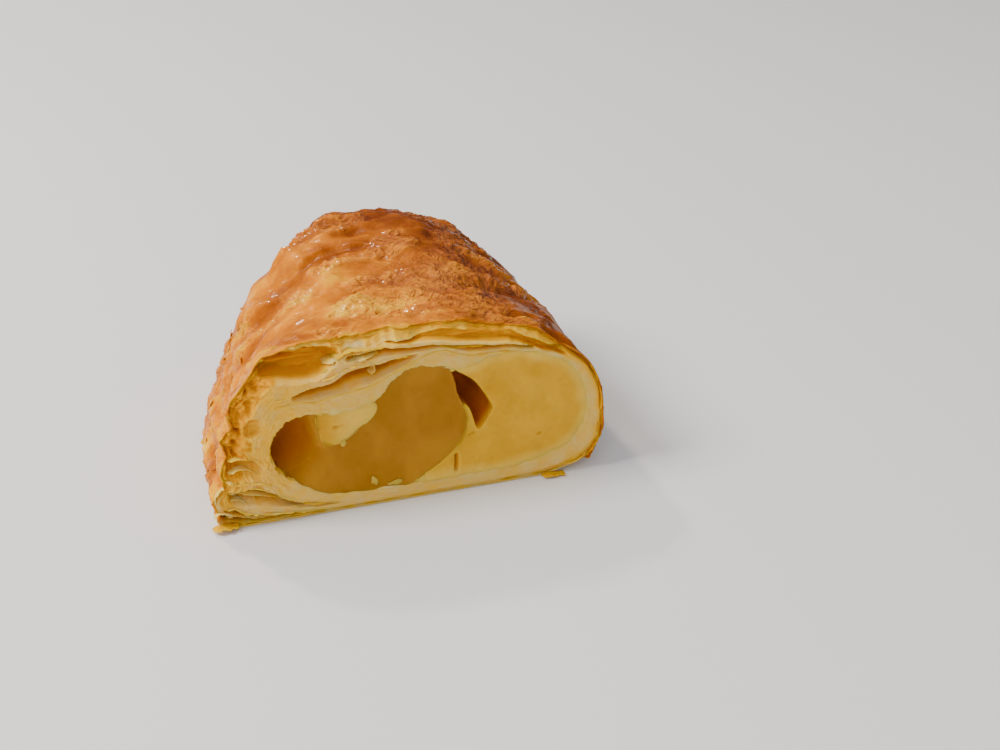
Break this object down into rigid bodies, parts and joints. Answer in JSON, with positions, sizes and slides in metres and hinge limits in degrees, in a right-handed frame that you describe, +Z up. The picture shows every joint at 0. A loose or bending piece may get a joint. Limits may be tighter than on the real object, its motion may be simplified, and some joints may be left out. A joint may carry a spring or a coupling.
{
  "type": "apple pie",
  "caption": "Half of a folded puff-pastry apple pie, cut across to show pale custard and a chunk of cooked apple under a domed, glazed, layered crust.",
  "frame": {"origin": "centre of the bounding box at the level of the flat underside", "axes": "+Z up, the cut face looks along -Y, the layered seam side is at -X, the smooth fold at +X and the sealed end at +Y"},
  "size_m": [0.0876, 0.078, 0.0438],
  "materials": {
    "baked_pastry": "baked and glazed, golden brown outside and pale cream where it is cut",
    "custard": "smooth, moist, pale yellow",
    "cooked_apple": "wet, translucent amber"
  },
  "bodies": {
    "root": {"pastry": "baked_pastry", "custard": "custard", "custard_dollop": "custard", "apple_chunk": "cooked_apple"}
  },
  "joints": []
}
